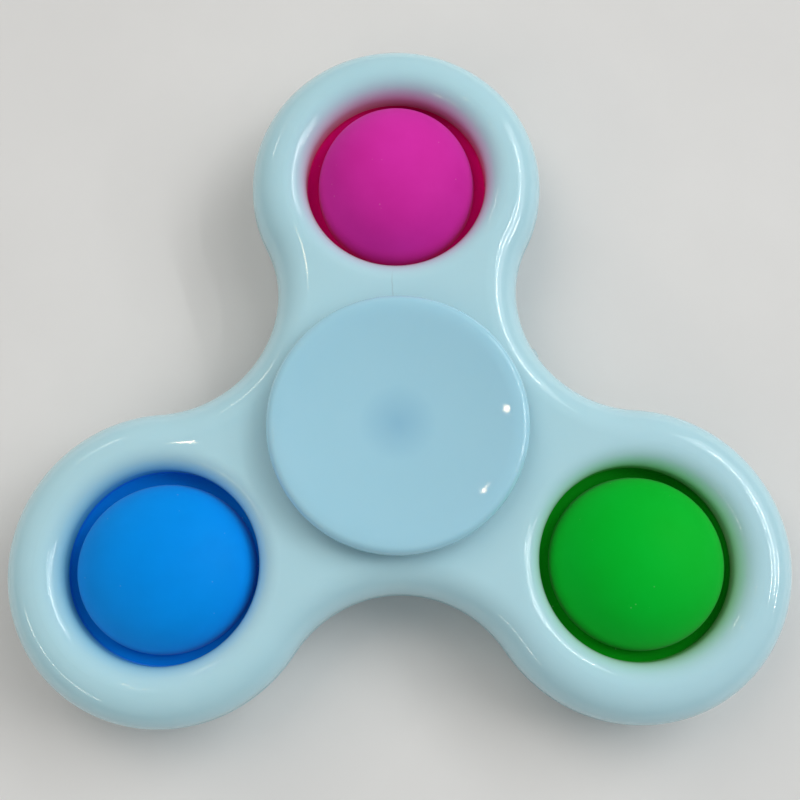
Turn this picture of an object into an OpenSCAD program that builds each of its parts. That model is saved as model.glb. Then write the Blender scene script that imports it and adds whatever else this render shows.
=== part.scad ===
// Three-lobed fidget spinner with a silicone pop bubble in every lobe, in millimetres.
// The origin is on the spin axis, in the plane of the lower cap's rim, which is what the spinner
// rests on. +Z is the spin axis, and +Y points from it to the pink bubble.

/* [Body] */
// Thickness of the body, both half shells together
body_t = 7; // [5.6:0.1:9]
// Width of the rounded ring around each bubble's hole
ring_w = 5.28; // [4.4:0.02:6.6]
// Width of the arm between the bearing and a bubble's hole
arm_w = 4.34; // [3.6:0.02:5.4]
// Thickness of the body between the bearing and the outline at a neck
neck_wall = 3.52; // [3:0.02:4.4]
// Rounding of the body's outer edges
edge_r = 3.2; // [2:0.1:3.4]
// Rounding of the rim of each bubble's hole
hole_edge_r = 1.9; // [1:0.1:2.2]
// Thickness of the walls around the hollow pockets inside a lobe
pocket_wall = 1.5; // [1.2:0.1:1.8]
// Radius of the pegs that locate one half shell in the other
peg_r = 0.7; // [0.5:0.05:0.85]
// Length of those pegs
peg_len = 1.6; // [1:0.1:2]

/* [Bubbles] */
// Radius of a bubble at its base
bubble_r = 7.4; // [6:0.1:9]
// Height of a bubble's top above the body's mid-plane
bubble_h = 5.4; // [4:0.1:6.5]
// Thickness of the silicone wall
silicone_t = 0.9; // [0.7:0.05:1.1]
// Width of the trough between a bubble and the wall of its hole
trough_w = 1.04; // [0.8:0.02:1.3]
// Thickness of the flange that the half shells clamp
flange_t = 0.8; // [0.6:0.05:1]
// How far the flange reaches under the shells
flange_grip = 1.36; // [1:0.02:1.5]
// Height of the stiff crown at the top of a bubble
crown_h = 1.1; // [1:0.05:1.5]

/* [Bearing] */
// Outer diameter of the bearing
bearing_od = 22; // [18:0.1:26.4]
// Bore of the bearing
bearing_bore = 8; // [6.6:0.1:9.6]
// Width of the bearing
bearing_w = 7; // [6.6:0.1:9]
// Diameter of a ball
ball_d = 3.969; // [3.4:0.001:4.3]
// Depth of the groove that the balls run in, below each ring's land
race_depth = 0.48; // [0.35:0.01:0.55]
// Thickness of a shield
shield_t = 0.35; // [0.25:0.05:0.4]
// Radial width of the ball cage
cage_w = 1.5; // [1.2:0.1:1.8]

/* [Caps] */
// How far a cap reaches past the bearing
cap_over = 0.35; // [0.2:0.05:1]
// Thickness of a cap at its rim
cap_t = 1.7; // [1.4:0.1:2.2]
// Depth of the finger dish in a cap
dish_depth = 1; // [0.6:0.05:1]
// Width of the rim around the dish
rim_w = 1; // [0.8:0.05:1.4]
// Rounding of a cap's edges
cap_edge_r = 0.65; // [0.4:0.05:0.65]
// Wall of the upper cap's hollow stem
stem_wall = 1.6; // [1.2:0.1:2]

/* [Fits] */
// Gap between a cap and the face of the body or bearing below it
cap_gap = 0.6; // [0.4:0.05:1]
// Radial clearance of the bearing in the shells
seat_fit = 0.02; // [0.01:0.01:0.05]
// Radial clearance of a cap's stem in the bearing
stem_fit = 0.01; // [0.01:0.01:0.05]
// Radial clearance of a peg in its socket, and of the lower cap's pin in the upper cap's stem
peg_fit = 0.05; // [0.02:0.01:0.1]
// Clearance of a ball in its grooves
ball_fit = 0.075; // [0.05:0.005:0.1]
// Clearance of a ball in its pocket in the cage
pocket_fit = 0.1; // [0.08:0.01:0.15]
// Radial clearance of a flange in its recess
flange_fit = 0.1; // [0.05:0.01:0.2]

/* [Hidden] */
$fn = 64;
arc_fn = 240; // for the wide, shallow arcs of the domes and dishes
COLOURS = ["pink", "blue", "green"];

white = [0.90, 0.96, 0.97];
steel = [0.72, 0.73, 0.75];
ball_steel = [0.82, 0.83, 0.85];
nylon = [0.93, 0.90, 0.80];
silicone = [[0.86, 0.16, 0.66], [0.02, 0.52, 0.90], [0.02, 0.68, 0.18]];

ball_count = 7;
past = 1; // how far a cutter runs past the face that it opens
edge_lift = 0.03; // a rounding is lifted by this, so that it crosses its flat face and isn't tangent to it
neck_bite = 0.05; // a neck's hollow cuts this deep into the lobes beside it, for the same reason
edge_land = 0.3; // the straight band left at the mid-plane beside a rounding

// Body
half_t = body_t / 2;
hole_r = bubble_r + trough_w;
lobe_r = hole_r + ring_w;
bearing_r = bearing_od / 2;
lobe_d = bearing_r + arm_w + hole_r;
neck_r = bearing_r + neck_wall;
// The neck's hollow is a circle that touches both neighbouring lobes and passes through the neck.
hollow_r = (neck_r * neck_r + lobe_d * lobe_d - neck_r * lobe_d - lobe_r * lobe_r)
    / (2 * lobe_r - 2 * neck_r + lobe_d);
hollow_d = neck_r + hollow_r;
hole_edge = min(hole_edge_r, half_t - flange_t / 2 - edge_land);
edge = min(edge_r, half_t - edge_land, ring_w - hole_edge - edge_land / 2);
seat_r = bearing_r + seat_fit;
flange_r = hole_r + flange_grip;
recess_r = flange_r + flange_fit;
arm_peg_d = (seat_r + lobe_d - recess_r) / 2;
neck_peg_d = (seat_r + neck_r) / 2;
peg_gap = 0.2; // left at the end of a peg's socket

// Hollow pockets around the outside of each lobe, open at the mid-plane
pocket_count = 3;
pocket_in_r = recess_r + pocket_wall / 2;
pocket_out_r = lobe_r - pocket_wall;
pocket_h = half_t - pocket_wall;
pocket_sweep = 56;
pocket_pitch = 66;

// Caps
rim_z = max(body_t, bearing_w) / 2 + cap_gap + cap_t; // above the mid-plane
cap_under = rim_z - cap_t;
cap_r = bearing_r + cap_over;
dish_r = cap_r - rim_w;
dish_sphere_r = (dish_r * dish_r + dish_depth * dish_depth) / (2 * dish_depth);
stem_r = bearing_bore / 2 - stem_fit;
sink = 0.3; // how far a boss or stem runs into the piece that it grows from
stem_end = 0.1; // each stem stops this far short of the mid-plane
socket_roof = 0.4; // left between the end of the socket and the bearing's upper face
pin_gap = 0.4; // left between the end of the pin and the end of its socket
socket_r = stem_r - stem_wall;
socket_h = bearing_w / 2 - stem_end - socket_roof;
pin_h = socket_h - pin_gap;

// Bearing
ball_r = ball_d / 2;
pitch_r = (bearing_od + bearing_bore) / 4;
inner_land_r = pitch_r - ball_r + race_depth;
outer_land_r = pitch_r + ball_r - race_depth;
shield_grip = 0.5; // how far a shield reaches into the outer ring
shield_gap = 0.35; // left between a shield and the inner ring
shield_inset = 0.15; // of a shield from the bearing's face
boss_step = 0.2; // by which a cap's boss stays inside the inner ring's edge
shield_seat_r = outer_land_r + shield_grip;
shield_in_r = inner_land_r + shield_gap;
shield_z = bearing_w / 2 - shield_inset - shield_t; // a shield's inner face
boss_r = inner_land_r - boss_step;
pocket_r = ball_r + pocket_fit;
cage_web = 0.44; // the cage's closed side, as a share of the room between a pocket and a shield
cage_bottom = pocket_r + cage_web * (shield_z - pocket_r);
cage_top = 0.9; // the cage's open side, above the middle of the balls

// Bubbles
base_z = flange_t / 2; // a bubble's dome starts at the flange's upper face
dome_h = bubble_h - base_z;
dome_sphere_r = (bubble_r * bubble_r + dome_h * dome_h) / (2 * dome_h);
dome_centre_z = bubble_h - dome_sphere_r;
crown_z = bubble_h - crown_h;

mid_z = rim_z; // height of the body's mid-plane in the part's frame

function polar(r, a) = [r * cos(a), r * sin(a)];

module at_mid() {
    translate([0, 0, mid_z]) children();
}

// Places its children at lobe k, seen from the mid-plane.
module in_lobe(k) {
    translate(polar(lobe_d, 90 + 120 * k)) children();
}

// ---- Body ----

// Cross-section of a lobe, from its axis outwards, with a rounded upper edge
module lobe_section() {
    intersection() {
        square([lobe_r, half_t]);
        union() {
            square([lobe_r - edge, half_t]);
            square([lobe_r, half_t - edge + edge_lift]);
            translate([lobe_r - edge, half_t - edge + edge_lift]) circle(edge);
        }
    }
}

// Cross-section of a round cutter of radius r that leaves a rounding of radius e around its mouth
module flared_section(r, e) {
    translate([0, -past]) square([r, half_t + 2 * past]);
    difference() {
        translate([0, half_t - e + edge_lift]) square([r + e, e + past]);
        translate([r + e, half_t - e + edge_lift]) circle(e);
    }
}

// Upper half of the body, standing on the mid-plane
module half_body() {
    difference() {
        union() {
            for (k = [0:2]) in_lobe(k) rotate_extrude() lobe_section();
            linear_extrude(half_t)
                polygon([for (k = [0:2]) each [polar(lobe_d, 90 + 120 * k), polar(hollow_d, 150 + 120 * k)]]);
        }
        for (k = [0:2]) {
            translate(polar(hollow_d, 150 + 120 * k))
                rotate_extrude() flared_section(hollow_r + neck_bite, edge);
            in_lobe(k) rotate_extrude() flared_section(hole_r, hole_edge);
            in_lobe(k) translate([0, 0, -past]) cylinder(r = recess_r, h = past + flange_t / 2);
            in_lobe(k) lobe_pockets(90 + 120 * k);
        }
        translate([0, 0, -past]) cylinder(r = seat_r, h = half_t + 2 * past);
    }
}

// Hollow pockets spread evenly about the outward direction of a lobe
module lobe_pockets(outward) {
    for (i = [0:pocket_count - 1])
        rotate([0, 0, outward - pocket_sweep / 2 + (i - (pocket_count - 1) / 2) * pocket_pitch])
            translate([0, 0, -past])
                rotate_extrude(angle = pocket_sweep)
                    translate([pocket_in_r, 0]) square([pocket_out_r - pocket_in_r, pocket_h + past]);
}

// Pegs or their sockets: one on each arm and one at each neck
module pegs(r, h) {
    for (k = [0:2]) {
        translate(polar(arm_peg_d, 90 + 120 * k)) cylinder(r = r, h = h);
        translate(polar(neck_peg_d, 150 + 120 * k)) cylinder(r = r, h = h);
    }
}

module upper_shell() {
    color(white) at_mid() difference() {
        half_body();
        translate([0, 0, -past]) pegs(peg_r + peg_fit, past + peg_len + peg_gap);
    }
}

module lower_shell() {
    color(white) at_mid() {
        mirror([0, 0, 1]) half_body();
        translate([0, 0, -peg_len]) pegs(peg_r, 2 * peg_len);
    }
}

// ---- Caps ----

// Cross-section of a cap's disc, with both edges rounded and the finger dish in its face
module cap_section() {
    difference() {
        translate([0, cap_under]) square([cap_r, cap_t]);
        translate([0, rim_z - dish_depth + dish_sphere_r]) circle(dish_sphere_r, $fn = arc_fn);
        for (way = [-1, 1])
            translate([cap_r - cap_edge_r, rim_z - cap_t / 2 + way * (cap_t / 2 - cap_edge_r)])
                difference() {
                    scale([1, way]) translate([0, edge_lift]) square(cap_edge_r + past);
                    circle(cap_edge_r + edge_lift);
                }
    }
}

// A cap's disc, with the boss that bears on the bearing's inner ring
module cap_disc() {
    rotate_extrude() cap_section();
    translate([0, 0, bearing_w / 2]) cylinder(r = boss_r, h = cap_under - bearing_w / 2 + sink);
}

module stem() {
    translate([0, 0, stem_end]) cylinder(r = stem_r, h = bearing_w / 2 - stem_end + sink);
}

module upper_cap() {
    color(white) at_mid() difference() {
        union() {
            cap_disc();
            stem();
        }
        translate([0, 0, stem_end - past]) cylinder(r = socket_r, h = socket_h + past);
    }
}

module lower_cap() {
    color(white) at_mid() {
        mirror([0, 0, 1]) {
            cap_disc();
            stem();
        }
        translate([0, 0, -2 * stem_end]) cylinder(r = socket_r - peg_fit, h = 2 * stem_end + pin_h);
    }
}

// ---- Bearing ----

// The groove that the balls run in
module race() {
    rotate_extrude() translate([pitch_r, 0]) circle(ball_r + ball_fit);
}

module tube(r_in, r_out, z0, z1) {
    translate([0, 0, z0]) difference() {
        cylinder(r = r_out, h = z1 - z0);
        translate([0, 0, -past]) cylinder(r = r_in, h = z1 - z0 + 2 * past);
    }
}

module bearing_outer_ring() {
    color(steel) at_mid() difference() {
        tube(outer_land_r, bearing_r, -bearing_w / 2, bearing_w / 2);
        race();
        for (side = [0, 1]) mirror([0, 0, side])
            translate([0, 0, shield_z]) cylinder(r = shield_seat_r, h = past);
    }
}

module bearing_inner_ring() {
    color(steel) at_mid() difference() {
        tube(bearing_bore / 2, inner_land_r, -bearing_w / 2, bearing_w / 2);
        race();
    }
}

// Turns its children to ball i, counted from 1.
module at_ball(i) {
    translate(polar(pitch_r, 90 + 360 / ball_count * (i - 1))) children();
}

module bearing_cage() {
    color(nylon) at_mid() difference() {
        tube(pitch_r - cage_w / 2, pitch_r + cage_w / 2, -cage_bottom, cage_top);
        for (i = [1:ball_count]) at_ball(i) sphere(pocket_r);
    }
}

module ball(i) {
    color(ball_steel) at_mid() at_ball(i) sphere(ball_r);
}

module shield() {
    tube(shield_in_r, shield_seat_r, shield_z, shield_z + shield_t);
}

module upper_shield() {
    color(steel) at_mid() shield();
}

module lower_shield() {
    color(steel) at_mid() mirror([0, 0, 1]) shield();
}

// ---- Bubbles ----

// Cross-section of a dome: a vertical skirt inside the flange, and a cap of even thickness on it
module dome_section() {
    difference() {
        union() {
            intersection() {
                translate([0, dome_centre_z]) circle(dome_sphere_r, $fn = arc_fn);
                translate([0, base_z]) square([bubble_r + past, bubble_h]);
            }
            translate([0, -base_z]) square([bubble_r, flange_t]);
        }
        intersection() {
            translate([0, dome_centre_z]) circle(dome_sphere_r - silicone_t, $fn = arc_fn);
            square([bubble_r - silicone_t, bubble_h]);
        }
        translate([0, -past]) square([bubble_r - silicone_t, past + base_z / 2]);
    }
}

module bubble_flange(k) {
    color(silicone[k]) at_mid() in_lobe(k) tube(bubble_r, flange_r, -flange_t / 2, flange_t / 2);
}

module bubble_wall(k) {
    color(silicone[k]) at_mid() in_lobe(k) rotate_extrude() difference() {
        dome_section();
        translate([0, crown_z]) square([bubble_r, bubble_h]);
    }
}

module bubble_crown(k) {
    color(silicone[k]) at_mid() in_lobe(k) rotate_extrude() intersection() {
        dome_section();
        translate([0, crown_z]) square([bubble_r, bubble_h]);
    }
}

upper_shell();
lower_shell();
upper_cap();
lower_cap();
bearing_outer_ring();
bearing_inner_ring();
bearing_cage();
upper_shield();
lower_shield();
for (i = [1:ball_count]) {
    ball(i);
}
for (k = [0:2]) {
    bubble_flange(k);
    bubble_wall(k);
    bubble_crown(k);
}
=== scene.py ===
"""Fidget spinner: the visual model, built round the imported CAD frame, in metres."""
import math
import bmesh
import bpy
from mathutils import Matrix, Vector


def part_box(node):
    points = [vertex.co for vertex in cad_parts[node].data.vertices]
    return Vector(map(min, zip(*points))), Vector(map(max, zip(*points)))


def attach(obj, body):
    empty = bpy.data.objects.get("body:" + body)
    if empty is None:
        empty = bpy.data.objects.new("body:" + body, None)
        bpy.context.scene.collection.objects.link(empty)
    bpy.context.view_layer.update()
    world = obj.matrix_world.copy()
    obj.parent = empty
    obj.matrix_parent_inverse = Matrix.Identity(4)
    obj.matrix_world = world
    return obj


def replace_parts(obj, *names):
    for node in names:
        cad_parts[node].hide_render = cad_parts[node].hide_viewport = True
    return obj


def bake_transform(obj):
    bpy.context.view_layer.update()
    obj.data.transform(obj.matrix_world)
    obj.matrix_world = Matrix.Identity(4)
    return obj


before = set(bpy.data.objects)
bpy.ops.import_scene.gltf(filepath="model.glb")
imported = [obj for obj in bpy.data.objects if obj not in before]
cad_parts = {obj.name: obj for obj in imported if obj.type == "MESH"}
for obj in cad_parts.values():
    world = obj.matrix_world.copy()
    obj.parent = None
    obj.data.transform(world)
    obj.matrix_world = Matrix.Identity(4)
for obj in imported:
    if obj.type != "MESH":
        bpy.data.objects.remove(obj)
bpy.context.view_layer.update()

MM = 0.001
COLOURS = ("pink", "blue", "green")


# ---------------------------------------------------------------- sizes, from the frame

def mid(node, axis):
    """Middle of a node's box along one axis."""
    low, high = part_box(node)
    return (low[axis] + high[axis]) / 2


def radius(node):
    """Half the width of a round node."""
    low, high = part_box(node)
    return (high[0] - low[0]) / 2


MID_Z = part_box("upper_shell")[0][2]                 # the body's mid-plane
HALF_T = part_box("upper_shell")[1][2] - MID_Z
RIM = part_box("upper_cap")[1][2] - MID_Z             # a cap's rim, above the mid-plane
CAP_R = radius("upper_cap")
BUBBLE_R = radius("pink_bubble_wall")
BUBBLE_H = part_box("pink_bubble_crown")[1][2] - MID_Z
FLANGE_R = radius("pink_bubble_flange")
FLANGE_HALF = (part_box("pink_bubble_flange")[1][2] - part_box("pink_bubble_flange")[0][2]) / 2
BEARING_R = radius("bearing_outer_ring")
BEARING_HALF = (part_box("bearing_outer_ring")[1][2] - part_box("bearing_outer_ring")[0][2]) / 2
LOBES = [Vector((mid(c + "_bubble_crown", 0), mid(c + "_bubble_crown", 1))) for c in COLOURS]
LOBE_D = LOBES[0].length
LOBE_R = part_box("upper_shell")[1][1] - LOBE_D

TROUGH = 1.04 * MM       # between a bubble and the wall of its hole
HOLE_R = BUBBLE_R + TROUGH
NECK_R = 14.52 * MM      # from the spin axis to the outline at a neck
SEAT_R = BEARING_R + 0.02 * MM
RECESS_R = FLANGE_R + 0.1 * MM
HOLE_EDGE = 2.03 * MM    # rounding of a hole's rim
CREST = 0.05 * MM        # the flat left between the two roundings of a lobe's ring
EDGE = LOBE_R - HOLE_R - HOLE_EDGE - CREST         # rounding of the outline
SEAM_PROUD = 0.04 * MM   # the ridge that the mould's parting line leaves
SEAM_HALF = 0.07 * MM
HOLLOW_R = (NECK_R ** 2 + LOBE_D ** 2 - NECK_R * LOBE_D - LOBE_R ** 2) / (2 * LOBE_R - 2 * NECK_R + LOBE_D)
HOLLOW_D = NECK_R + HOLLOW_R
POCKET_WALL = 1.5 * MM
POCKET_STEP = 66         # degrees from one hollow pocket of a lobe to the next
POCKET_HALF = 28         # half a pocket's width, in degrees
PEG_R = 0.7 * MM
PEG_LEN = 1.6 * MM
PEG_FIT = 0.05 * MM      # clearance round a peg
PEG_END_FIT = 0.2 * MM   # clearance past a peg's end

CAP_T = 1.7 * MM
CAP_FOOT = 0.65 * MM     # rounding of a cap's lower edge
RIM_EDGE = 0.72 * MM     # rounding of the rim's outer edge
RIM_FLAT = 0.05 * MM
DISH_DEPTH = 1.0 * MM
DISH_ROLL = 5.0 * MM     # the dish turns over into the rim on this radius
BOSS_R = radius("bearing_inner_ring") - 0.2 * MM
STEM_R = 3.99 * MM
STEM_END = 0.1 * MM      # a stem stops this far short of the mid-plane
STEM_BEVEL = 0.2 * MM
SOCKET_R = STEM_R - 1.6 * MM
SOCKET_END = 3 * MM
PIN_R = SOCKET_R - 0.05 * MM
PIN_END = 2.6 * MM       # how far the lower cap's pin reaches past the mid-plane
PIN_BEVEL = 0.3 * MM

WALL_T = 0.9 * MM        # silicone
CREASE = 0.16 * MM       # rounding between a dome and its web
WEB_TOP = -0.2 * FLANGE_HALF
WEB_R = HOLE_R - 0.12 * MM                         # the web is flat out to here
OUT_OF_ROUND = {         # each dome's stretch along X and Y, and how far it sits off its axis
    "pink": (1.0, 1.075, 0.0, -0.10 * MM),
    "blue": (1.06, 1.0, 0.20 * MM, -0.12 * MM),
    "green": (1.036, 1.018, 0.20 * MM, 0.0),
}


def polar(r, degrees):
    return Vector((r * math.cos(math.radians(degrees)), r * math.sin(math.radians(degrees))))


# ---------------------------------------------------------------- mesh building

TURNED_AT = "turned_at"  # a vertex attribute: see revolve
SHARP_ANGLE = 32

class Builder:
    """Collects loops of points and the faces between them."""

    def __init__(self):
        self.bm = bmesh.new()

    def loop(self, points):
        return [self.bm.verts.new(p) for p in points]

    def bridge(self, a, b):
        """Quads between two closed loops of equal length."""
        for i in range(len(a)):
            j = (i + 1) % len(a)
            self.bm.faces.new((a[i], a[j], b[j], b[i]))

    def fan(self, loop, point):
        tip = self.bm.verts.new(point)
        for i in range(len(loop)):
            self.bm.faces.new((loop[i], loop[(i + 1) % len(loop)], tip))

    def fill(self, loops):
        """Triangles in the flat region that these closed loops bound."""
        edges = []
        for loop in loops:
            for i, vert in enumerate(loop):
                other = loop[(i + 1) % len(loop)]
                edge = self.bm.edges.get((vert, other)) or self.bm.edges.new((vert, other))
                edges.append(edge)
        bmesh.ops.triangle_fill(self.bm, use_beauty=True, edges=edges)

    def finish(self, name):
        bmesh.ops.recalc_face_normals(self.bm, faces=self.bm.faces)
        mesh = bpy.data.meshes.new(name)
        self.bm.to_mesh(mesh)
        self.bm.free()
        obj = bpy.data.objects.new(name, mesh)
        bpy.context.scene.collection.objects.link(obj)
        mesh.shade_smooth()
        mesh.set_sharp_from_angle(angle=math.radians(SHARP_ANGLE))
        weighted = obj.modifiers.new("weighted", "WEIGHTED_NORMAL")
        weighted.weight = 100
        weighted.keep_sharp = True
        return obj


def circle(centre, r, z, count):
    points = []
    for i in range(count):
        angle = 2 * math.pi * i / count
        points.append((centre[0] + r * math.cos(angle), centre[1] + r * math.sin(angle), z))
    return points


def arc(centre, r, start, end, steps):
    """Points (radius, height) on an arc, in degrees, both ends included."""
    points = []
    for i in range(steps + 1):
        angle = math.radians(start + (end - start) * i / steps)
        points.append((centre[0] + r * math.cos(angle), centre[1] + r * math.sin(angle)))
    return points


def revolve(name, profile, count, centre=(0, 0), bulge=None):
    """A closed solid turned from (radius, height) points, which run from pole to pole at radius 0.

    bulge gives, for a radius, its ring's stretch along X and Y and its shift along both. Each
    vertex keeps the radius it was turned at, before the bulge, as an attribute for the material.
    """
    builder = Builder()
    turned_at = builder.bm.verts.layers.float.new(TURNED_AT)
    rings = []
    for r, z in profile:
        wide, deep, shift_x, shift_y = bulge(r) if bulge else (1, 1, 0, 0)
        x0, y0 = centre[0] + shift_x, centre[1] + shift_y
        if r == 0:
            rings.append((x0, y0, z))
            continue
        ring = circle((0, 0), r, z, count)
        rings.append(builder.loop([(x0 + x * wide, y0 + y * deep, height) for x, y, height in ring]))
        for vert in rings[-1]:
            vert[turned_at] = r
    for a, b in zip(rings, rings[1:]):
        if isinstance(a, tuple):
            builder.fan(b, a)
        elif isinstance(b, tuple):
            builder.fan(a, b)
        else:
            builder.bridge(a, b)
    return builder.finish(name)


# ---------------------------------------------------------------- the body's two shells

LOBE_POINTS = 120
HOLLOW_POINTS = 56
EDGE_STEPS = 16
HOLE_POINTS = 128
HOLE_STEPS = 14
SEAT_POINTS = 160
POCKET_STEPS = 20
PEG_POINTS = 24
GATE_NUBS = ((30, 0.30 * MM, 0.55 * MM), (150, 0.12 * MM, 0.7 * MM))   # neck, height, half width
GATE_TALL = 0.45 * MM    # how far a nub fades out above and below the parting line


def outline(inset, z_above):
    """The body's outline at an inset, counter-clockwise from the pink lobe's right side."""
    to_hollow = math.degrees(math.acos((LOBE_D - HOLLOW_D / 2) / (LOBE_R + HOLLOW_R)))
    at_hollow = math.degrees(math.acos((HOLLOW_D - LOBE_D / 2) / (LOBE_R + HOLLOW_R)))
    points = []
    for k in range(3):
        outward = 90 + 120 * k
        start = outward - 180 + to_hollow
        sweep = 360 - 2 * to_hollow
        for i in range(LOBE_POINTS):
            point = polar(LOBE_D, outward) + polar(LOBE_R - inset, start + sweep * i / LOBE_POINTS)
            points.append(point)
        neck = outward + 60
        for i in range(HOLLOW_POINTS):
            angle = at_hollow - 2 * at_hollow * i / HOLLOW_POINTS
            nub = 0
            for where, height, half in GATE_NUBS:
                if (neck - where) % 360 == 0:
                    along = math.radians(angle) * HOLLOW_R / half
                    nub = height * math.exp(-along ** 4) * math.exp(-(z_above / GATE_TALL) ** 2)
            points.append(polar(HOLLOW_D, neck) + polar(HOLLOW_R + inset - nub, neck + 180 + angle))
    return points


def shell(name, side):
    """Half of the body. side is 1 for the upper half and -1 for the lower one."""
    builder = Builder()

    def place(points, height):
        return builder.loop([(p[0], p[1], MID_Z + side * height) for p in points])

    # the outline, from the parting line up over the rounded edge
    levels = [(0, 0), (0, SEAM_HALF * 0.6), (SEAM_PROUD, SEAM_HALF)]
    for r, z in arc((0, HALF_T - EDGE), EDGE, 0, 90, EDGE_STEPS):
        levels.append((SEAM_PROUD + EDGE - r, z))
    outer = []
    for inset, height in levels:
        outer.append(place(outline(inset, height), height))
        if len(outer) > 1:
            builder.bridge(outer[-2], outer[-1])
    # each hole, from the flange's recess up over its rounded rim
    mouths, recesses = [], []
    for centre in LOBES:
        section = [(RECESS_R, 0), (RECESS_R, FLANGE_HALF), (HOLE_R, FLANGE_HALF)]
        rim = arc((0, HALF_T - HOLE_EDGE), HOLE_EDGE, 0, 90, HOLE_STEPS)
        section += [(HOLE_R + HOLE_EDGE - r, z) for r, z in rim]
        rings = [place(circle(centre, r, 0, HOLE_POINTS), z) for r, z in section]
        for low, high in zip(rings, rings[1:]):
            builder.bridge(low, high)
        recesses.append(rings[0])
        mouths.append(rings[-1])
    # the bearing's seat
    seat = [place(circle((0, 0), SEAT_R, 0, SEAT_POINTS), height) for height in (0, HALF_T)]
    builder.bridge(*seat)
    builder.fill([outer[-1], seat[1]] + mouths)
    # hollow pockets, and the pegs of the lower shell or their sockets in the upper one
    hidden = []
    for k, centre in enumerate(LOBES):
        for i in (-1, 0, 1):
            facing = 90 + 120 * k + POCKET_STEP * i
            start, end = facing - POCKET_HALF, facing + POCKET_HALF
            mouth = arc(centre, RECESS_R + POCKET_WALL / 2, start, end, POCKET_STEPS)
            mouth += arc(centre, LOBE_R - POCKET_WALL, end, start, POCKET_STEPS)
            hidden.append((mouth, HALF_T - POCKET_WALL))
        arm_peg = (SEAT_R + LOBE_D - RECESS_R) / 2
        for spot in (polar(arm_peg, 90 + 120 * k), polar((SEAT_R + NECK_R) / 2, 150 + 120 * k)):
            if side > 0:
                hidden.append((circle(spot, PEG_R + PEG_FIT, 0, PEG_POINTS), PEG_LEN + PEG_END_FIT))
            else:
                hidden.append((circle(spot, PEG_R, 0, PEG_POINTS), -PEG_LEN))
    floor_loops = []
    for mouth, depth in hidden:
        foot, end = place(mouth, 0), place(mouth, depth)
        builder.bridge(foot, end)
        builder.fill([end])
        floor_loops.append(foot)
    builder.fill([outer[0], seat[0]] + recesses + floor_loops)
    piece = builder.finish(name)
    piece.data.materials.append(MATERIALS["body"])
    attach(piece, "spinner")
    return piece


# ---------------------------------------------------------------- the caps

CAP_POINTS = 256


def cap(name, side, node):
    """A finger cap with its dish, its boss and its stem. side is 1 for the upper cap."""
    under = RIM - CAP_T
    crest_r = CAP_R - RIM_EDGE - RIM_FLAT
    dish_r = (crest_r ** 2 + DISH_DEPTH ** 2) / (2 * DISH_DEPTH) - DISH_ROLL
    dish_half = math.degrees(math.asin(crest_r / (dish_r + DISH_ROLL)))
    profile = arc((0, RIM - DISH_DEPTH + dish_r), dish_r, -90, -90 + dish_half, 30)
    profile[0] = (0, profile[0][1])
    profile += arc((crest_r, RIM - DISH_ROLL), DISH_ROLL, 90 + dish_half, 90, 10)[1:]
    profile += arc((CAP_R - RIM_EDGE, RIM - RIM_EDGE), RIM_EDGE, 90, 0, 10)
    profile += arc((CAP_R - CAP_FOOT, under + CAP_FOOT), CAP_FOOT, 0, -90, 8)
    profile += [(BOSS_R, under), (BOSS_R, BEARING_HALF), (STEM_R, BEARING_HALF)]
    profile += [(STEM_R, STEM_END + STEM_BEVEL), (STEM_R - STEM_BEVEL, STEM_END)]
    if side > 0:
        profile += [(SOCKET_R, STEM_END), (SOCKET_R, SOCKET_END), (0, SOCKET_END)]
    else:
        profile += [(PIN_R, STEM_END), (PIN_R, PIN_BEVEL - PIN_END)]
        profile += [(PIN_R - PIN_BEVEL, -PIN_END), (0, -PIN_END)]
    piece = revolve(name, [(r, MID_Z + side * z) for r, z in profile], CAP_POINTS)
    piece.data.materials.append(MATERIALS["cap"])
    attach(piece, "caps")
    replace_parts(piece, node)


# ---------------------------------------------------------------- the silicone bubbles

BUBBLE_POINTS = 160
DOME_STEPS = 40


def bubble(k, colour):
    """One silicone moulding: a flange held between the shells, a thin web, and the dome."""
    foot = WEB_TOP + CREASE
    hollow_r = BUBBLE_R - WALL_T
    outer, inner = [], []
    for i in range(DOME_STEPS + 1):
        angle = math.radians(90 * (1 - i / DOME_STEPS))
        outer.append((BUBBLE_R * math.cos(angle), foot + (BUBBLE_H - foot) * math.sin(angle)))
        inner.append((hollow_r * math.cos(angle), (BUBBLE_H - WALL_T) * math.sin(angle)))
    outer[0], inner[0] = (0, outer[0][1]), (0, inner[0][1])
    web = [(BUBBLE_R + 0.01 * MM, WEB_TOP + CREASE / 2)]
    web += arc((BUBBLE_R + CREASE, foot), CREASE, 200, 270, 5)
    web += [(WEB_R, WEB_TOP), (HOLE_R - 0.02 * MM, WEB_TOP + 0.03 * MM), (HOLE_R + 0.05 * MM, FLANGE_HALF)]
    web += [(FLANGE_R, FLANGE_HALF), (FLANGE_R, -FLANGE_HALF), (HOLE_R, -FLANGE_HALF)]
    web += [(hollow_r + 0.3 * MM, -FLANGE_HALF), (hollow_r + 0.08 * MM, -0.75 * FLANGE_HALF)]
    profile = outer + web + inner[::-1]
    wide, deep, shift_x, shift_y = OUT_OF_ROUND[colour]

    def bulge(r):
        """The dome sits a little out of round, and its web takes up the difference."""
        share = min(1, max(0, (WEB_R - r) / (WEB_R - BUBBLE_R - CREASE)))
        return 1 + (wide - 1) * share, 1 + (deep - 1) * share, shift_x * share, shift_y * share

    piece = revolve(colour + "_bubble", [(r, MID_Z + z) for r, z in profile], BUBBLE_POINTS, LOBES[k], bulge)
    piece.data.materials.append(MATERIALS[colour])
    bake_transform(piece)
    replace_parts(piece, *[f"{colour}_bubble_{part}" for part in ("flange", "wall", "crown")])


# ---------------------------------------------------------------- materials

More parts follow.
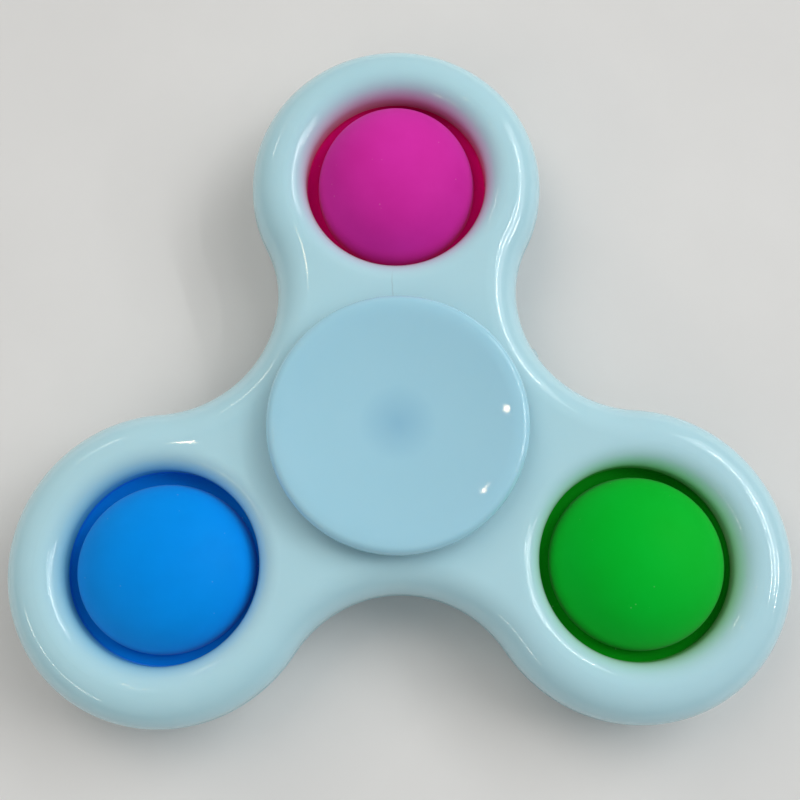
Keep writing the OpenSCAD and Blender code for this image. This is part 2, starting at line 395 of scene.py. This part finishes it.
class Nodes:
    """A material under construction."""

    def __init__(self, name):
        self.mat = bpy.data.materials.new(name)
        self.mat.use_nodes = True
        self.tree = self.mat.node_tree
        self.shader = self.tree.nodes["Principled BSDF"]
        self.place = self.add("ShaderNodeTexCoord").outputs["Object"]

    def add(self, kind, **values):
        node = self.tree.nodes.new(kind)
        for key, value in values.items():
            setattr(node, key, value)
        return node

    def link(self, source, target):
        self.tree.links.new(source, target)

    def noise(self, scale, detail=3, roughness=0.5, stretch=(1, 1, 1)):
        mapping = self.add("ShaderNodeMapping")
        mapping.inputs["Scale"].default_value = stretch
        self.link(self.place, mapping.inputs["Vector"])
        node = self.add("ShaderNodeTexNoise")
        node.inputs["Scale"].default_value = scale
        node.inputs["Detail"].default_value = detail
        node.inputs["Roughness"].default_value = roughness
        self.link(mapping.outputs["Vector"], node.inputs["Vector"])
        return node.outputs["Fac"]

    def spread(self, value, low, high, low_in=0.3, high_in=0.7):
        """Maps low_in to low and high_in to high. A noise lies mostly between 0.3 and 0.7."""
        node = self.add("ShaderNodeMapRange")
        node.inputs["From Min"].default_value = low_in
        node.inputs["From Max"].default_value = high_in
        node.inputs["To Min"].default_value = low
        node.inputs["To Max"].default_value = high
        self.link(value, node.inputs["Value"])
        return node.outputs["Result"]

    def math(self, operation, *values):
        node = self.add("ShaderNodeMath", operation=operation)
        for socket, value in zip(node.inputs, values):
            if isinstance(value, (int, float)):
                socket.default_value = value
            else:
                self.link(value, socket)
        return node.outputs["Value"]

    def from_axis(self, centre):
        """Distance from a vertical axis."""
        axes = self.add("ShaderNodeSeparateXYZ")
        self.link(self.place, axes.inputs["Vector"])
        offsets = [self.math("SUBTRACT", axes.outputs[i], centre[i]) for i in (0, 1)]
        squares = [self.math("POWER", off, 2) for off in offsets]
        return self.math("SQRT", self.math("ADD", *squares))

    def colours(self, factor, a, b):
        node = self.add("ShaderNodeMix", data_type="RGBA")
        node.inputs["A"].default_value = (*a, 1)
        node.inputs["B"].default_value = (*b, 1)
        self.link(factor, node.inputs["Factor"])
        return node.outputs["Result"]

    def tint(self, colour, factor, other):
        """Mixes a plain colour into a colour socket."""
        node = self.add("ShaderNodeMix", data_type="RGBA")
        self.link(colour, node.inputs["A"])
        node.inputs["B"].default_value = (*other, 1)
        self.link(factor, node.inputs["Factor"])
        return node.outputs["Result"]

    def bump(self, height, distance, strength, under=None):
        node = self.add("ShaderNodeBump")
        node.inputs["Distance"].default_value = distance
        node.inputs["Strength"].default_value = strength
        self.link(height, node.inputs["Height"])
        if under is not None:
            self.link(under, node.inputs["Normal"])
        return node.outputs["Normal"]

    def set(self, **values):
        names = {
            "color": "Base Color", "rough": "Roughness", "metal": "Metallic", "ior": "IOR",
            "coat": "Coat Weight", "coat_rough": "Coat Roughness",
            "sheen": "Sheen Weight", "sheen_rough": "Sheen Roughness",
            "sss": "Subsurface Weight", "sss_scale": "Subsurface Scale", "sss_radius": "Subsurface Radius",
            "normal": "Normal", "specular": "Specular IOR Level",
        }
        for key, value in values.items():
            socket = self.shader.inputs[names[key]]
            if isinstance(value, bpy.types.NodeSocket):
                self.link(value, socket)
            else:
                socket.default_value = value


PAINTED_BOUNCE_TINTS = ((0.75, 0.16, 0.26), (0.02, 0.46, 0.50), (0.26, 0.50, 0.10))   # painted bounce light that each silicone throws on the plastic, in the order of COLOURS
PAINTED_BOUNCE_REACH = 1.7 * MM    # how far the painted bounce light reaches from a hole's wall into the plastic
PAINTED_BOUNCE_FULL = 0.6 * MM     # from the mid-plane up to where the painted bounce light begins to fade
PAINTED_BOUNCE_SHARE = 0.75
KNIT_X = -0.35 * MM      # the flow line's place, its wander, its half width, and where it fades out
KNIT_WANDER = 0.12 * MM
KNIT_HALF = (0.02 * MM, 0.09 * MM)
KNIT_END = (13.0 * MM, 14.6 * MM)


def moulded_plastic(name, base, darker, body=False, dark_centre=0):
    """Glossy moulded ABS: faint cloudiness, a slightly wavy skin and handling marks.

    body draws the flow line on the pink arm, and paints a tint of the coloured light that each
    silicone bounces onto the plastic round its hole. thin is the radius within which a cap's
    colour turns darker and bluer towards its middle.
    """
    m = Nodes(name)
    cloud = m.noise(90, 4, 0.55)
    colour = m.colours(m.spread(cloud, 0, 1), darker, base)
    wave = m.noise(240, 2, 0.4)
    normal = m.bump(wave, 0.012 * MM, 0.5)
    if body:
        axes = m.add("ShaderNodeSeparateXYZ")
        m.link(m.place, axes.inputs["Vector"])
        wander = m.spread(m.noise(420, 2, 0.6, (0, 1, 0)), -KNIT_WANDER, KNIT_WANDER)
        off = m.math("ABSOLUTE", m.math("ADD", m.math("SUBTRACT", axes.outputs["X"], wander), -KNIT_X))
        near = m.spread(off, 1, 0, *KNIT_HALF)
        inside = m.math("MULTIPLY", m.math("GREATER_THAN", axes.outputs["Y"], 0),
                        m.spread(axes.outputs["Y"], 1, 0, *KNIT_END))
        line = m.math("MULTIPLY", near, inside)
        colour = m.tint(colour, m.math("MULTIPLY", line, 0.3), (0.30, 0.38, 0.42))
        normal = m.bump(m.math("MULTIPLY", line, -1), 0.008 * MM, 0.5, normal)
        from_middle = m.math("ABSOLUTE", m.math("SUBTRACT", axes.outputs["Z"], MID_Z))
        # painted bounce light: each silicone's colour tinted into the plastic round its hole, fading up the
        # wall
        for centre, bounce_tint in zip(LOBES, PAINTED_BOUNCE_TINTS):
            out = m.spread(m.from_axis(centre), 1, 0, HOLE_R, HOLE_R + PAINTED_BOUNCE_REACH)
            low = m.spread(from_middle, 1, 0, PAINTED_BOUNCE_FULL, HALF_T)
            share = m.math("MULTIPLY", m.math("MULTIPLY", out, low), PAINTED_BOUNCE_SHARE)
            colour = m.tint(colour, share, bounce_tint)
    # the cap's colour turns darker and bluer towards the middle of its dish
    if dark_centre:
        out = m.from_axis((0, 0))
        shade = [c * f for c, f in zip(base, (0.5, 0.66, 0.8))]
        colour = m.tint(colour, m.spread(out, 0.5, 0, 0, dark_centre), shade)
    smudge = m.noise(160, 5, 0.62, (1, 1.6, 1))
    m.set(color=colour, rough=m.spread(smudge, 0.025, 0.06), normal=normal, ior=1.53,
          coat=0.2, coat_rough=0.02, sss=0.4, sss_radius=(1.0, 0.95, 0.9), sss_scale=1.4 * MM)
    return m.mat


TROUGH_SHADE_FADE = (BUBBLE_R - 0.15 * MM, BUBBLE_R + 0.1 * MM)    # a dome's colour gives way to the painted shade of its trough


def silicone(name, base, deep, painted_trough_shade):
    """Matte silicone: a fine moulded grain and a little translucency, with painted shade in the trough's
    web.
    """
    m = Nodes(name)
    out = m.add("ShaderNodeAttribute", attribute_name=TURNED_AT).outputs["Fac"]
    cloud = m.noise(130, 4, 0.6)
    colour = m.colours(m.spread(cloud, 0, 1), deep, base)
    # painted shade: the web in the trough is tinted darker than the dome
    colour = m.tint(colour, m.spread(out, 0, 1, *TROUGH_SHADE_FADE), painted_trough_shade)
    grain = m.noise(9000, 2, 0.7)
    dust = m.add("ShaderNodeTexVoronoi")
    dust.inputs["Scale"].default_value = 700
    m.link(m.place, dust.inputs["Vector"])
    speck = m.spread(dust.outputs["Distance"], 1, 0, 0.03, 0.06)
    colour = m.tint(colour, m.math("MULTIPLY", speck, 0.12), (0.8, 0.8, 0.8))
    m.set(color=colour, rough=m.spread(m.noise(300, 3, 0.6), 0.58, 0.68),
          normal=m.bump(grain, 0.006 * MM, 0.35), ior=1.41, specular=0.12, sheen=0.08, sheen_rough=0.4,
          sss=0.15, sss_radius=(1.0, 1.0, 1.0), sss_scale=0.8 * MM)
    return m.mat


def steel(name, base, rough, turned):
    """Steel with the fine rings that grinding or pressing leaves."""
    m = Nodes(name)
    axes = m.add("ShaderNodeSeparateXYZ")
    m.link(m.place, axes.inputs["Vector"])
    across = m.from_axis((0, 0))
    rings = m.add("ShaderNodeTexNoise", noise_dimensions="1D")
    rings.inputs["Scale"].default_value = turned
    rings.inputs["Detail"].default_value = 4
    m.link(m.math("ADD", across, axes.outputs["Z"]), rings.inputs["W"])
    patch = m.noise(200, 4, 0.6)
    colour = m.colours(m.spread(patch, 0, 1), [c * 0.88 for c in base], base)
    m.set(color=colour, metal=1.0, rough=m.spread(rings.outputs["Fac"], rough * 0.8, rough * 1.3),
          normal=m.bump(rings.outputs["Fac"], 0.004 * MM, 0.4))
    return m.mat


def nylon(name, base):
    """Moulded nylon: waxy, faintly mottled."""
    m = Nodes(name)
    colour = m.colours(m.spread(m.noise(350, 4, 0.6), 0, 1), [c * 0.9 for c in base], base)
    m.set(color=colour, rough=m.spread(m.noise(800, 3, 0.5), 0.38, 0.5),
          normal=m.bump(m.noise(2500, 3), 0.005 * MM, 0.4),
          sss=0.15, sss_radius=(1.0, 0.9, 0.7), sss_scale=0.6 * MM)
    return m.mat


MATERIALS = {
    "body": moulded_plastic("body_plastic", (0.49, 0.755, 0.835), (0.475, 0.745, 0.825), body=True),
    "cap": moulded_plastic("cap_plastic", (0.40, 0.695, 0.83), (0.385, 0.685, 0.82), dark_centre=3.4 * MM),
    # each silicone's last colour is the painted shade of its trough
    "pink": silicone("pink_silicone", (0.69, 0.028, 0.41), (0.63, 0.020, 0.35), (0.74, 0.0, 0.19)),
    "blue": silicone("blue_silicone", (0.0, 0.30, 0.92), (0.0, 0.27, 0.84), (0.0, 0.23, 0.78)),
    "green": silicone("green_silicone", (0.0, 0.52, 0.030), (0.0, 0.48, 0.022), (0.0, 0.31, 0.006)),
    "ring": steel("bearing_steel", (0.62, 0.62, 0.64), 0.16, 9000),
    "ball": steel("ball_steel", (0.72, 0.72, 0.74), 0.06, 3000),
    "shield": steel("shield_steel", (0.55, 0.55, 0.57), 0.28, 5000),
    "cage": nylon("cage_nylon", (0.80, 0.76, 0.62)),
}


def paint(node, material):
    """Gives a carried-over CAD node its material."""
    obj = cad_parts[node]
    obj.data.materials.clear()
    obj.data.materials.append(MATERIALS[material])


# ---------------------------------------------------------------- floor, light and camera

FLOOR_SIZE = 6


def stage():
    """A pale floor that the lower cap rests on, and a plain dim surround."""
    bpy.ops.mesh.primitive_plane_add(size=FLOOR_SIZE, location=(0, 0, 0))
    floor = bpy.context.object
    floor.name = "floor"
    m = Nodes("floor_paper")
    shade = m.colours(m.spread(m.noise(30, 5, 0.6), 0, 1), (0.74, 0.74, 0.73), (0.78, 0.78, 0.77))
    m.set(color=shade, rough=0.7)
    floor.data.materials.append(m.mat)
    world = bpy.data.worlds.new("surround")
    bpy.context.scene.world = world
    world.use_nodes = True
    background = world.node_tree.nodes["Background"]
    background.inputs["Color"].default_value = (0.84, 0.93, 1.0, 1)
    background.inputs["Strength"].default_value = 0.18


def softbox(name, azimuth, elevation, distance, size, power, colour):
    """An area light aimed at the spinner. Azimuth is counted from +X towards +Y."""
    data = bpy.data.lights.new(name, "AREA")
    data.shape = "RECTANGLE"
    data.size, data.size_y = size
    data.energy = power
    data.color = colour
    lamp = bpy.data.objects.new(name, data)
    bpy.context.scene.collection.objects.link(lamp)
    flat = polar(distance * math.cos(math.radians(elevation)), azimuth)
    lamp.location = (flat[0], flat[1], distance * math.sin(math.radians(elevation)))
    aim = Vector((0, 0, MID_Z)) - lamp.location
    lamp.rotation_euler = aim.to_track_quat("-Z", "Y").to_euler()
    return lamp


WHITE = (1.0, 0.98, 0.96)
WARM = (1.0, 0.88, 0.74)
BULB = (1.0, 0.74, 0.48)
LIGHTS = (               # name, azimuth, elevation, distance, size, power, colour
    ("window", 24, 36, 0.9, (0.80, 0.36), 1.5, (0.95, 0.97, 1.0)),
    ("band_top", 8, 50, 0.9, (0.34, 0.012), 0.40, WHITE),
    ("band_high", 20, 40, 0.9, (0.75, 0.015), 0.95, WHITE),
    ("band_low", -4, 27, 0.9, (0.30, 0.015), 0.40, WHITE),
    ("band_left", 212, 30, 0.9, (0.60, 0.012), 0.45, WARM),
    ("band_back", 132, 34, 0.9, (0.22, 0.010), 0.15, WARM),
    ("lamp_left", 146, 73, 0.8, (0.016, 0.016), 0.020, BULB),
    ("lamp_right", 119, 67, 0.8, (0.016, 0.016), 0.020, BULB),
)
FILLS = (                # these brighten the spinner without showing in its gloss
    ("key", 34, 50, 1.0, (0.7, 0.7), 2.75, (0.95, 0.97, 0.97)),
    ("fill_far", 130, 50, 1.0, (0.7, 0.7), 3.1, (1.0, 0.89, 0.81)),
    ("fill_near", 250, 50, 1.0, (0.7, 0.7), 1.25, (0.93, 0.96, 0.95)),
)


def lights():
    """A window at the right with bright bands in it, soft fills, and two small lamps at the upper left."""
    for row in LIGHTS:
        softbox(*row)
    for row in FILLS:
        softbox(*row).visible_glossy = False


LENS = 45.4
EYE = Vector((0.40 * MM, -16.51 * MM, MID_Z + 90.19 * MM))
TARGET = Vector((0.19 * MM, 3.04 * MM, MID_Z))
ROLL = -0.52             # degrees


def camera():
    """Looks almost straight down from a hand's height, as a telephone held over the table."""
    data = bpy.data.cameras.new("camera")
    data.sensor_width = 36
    data.lens = LENS
    data.clip_start = 0.005
    data.clip_end = 20
    obj = bpy.data.objects.new("camera", data)
    bpy.context.scene.collection.objects.link(obj)
    ahead = (TARGET - EYE).normalized()
    right = ahead.cross(Vector((0, 1, 0))).normalized()
    level = Matrix((right, right.cross(ahead), -ahead)).transposed()
    turn = level @ Matrix.Rotation(math.radians(ROLL), 3, "Z")
    obj.matrix_world = Matrix.Translation(EYE) @ turn.to_4x4()
    bpy.context.scene.camera = obj


# ---------------------------------------------------------------- assembly

bpy.context.scene.view_settings.view_transform = "Standard"    # colours as they are, with no film curve
stage()
lights()
camera()

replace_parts(shell("upper_body", 1), "upper_shell")
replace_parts(shell("lower_body", -1), "lower_shell")
cap("upper_finger_cap", 1, "upper_cap")
cap("lower_finger_cap", -1, "lower_cap")
for number, colour_name in enumerate(COLOURS):
    bubble(number, colour_name)
for node_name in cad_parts:
    if node_name.startswith("ball_"):
        paint(node_name, "ball")
    elif node_name.endswith("_ring"):
        paint(node_name, "ring")
    elif node_name.endswith("_shield"):
        paint(node_name, "shield")
    elif node_name == "bearing_cage":
        paint(node_name, "cage")
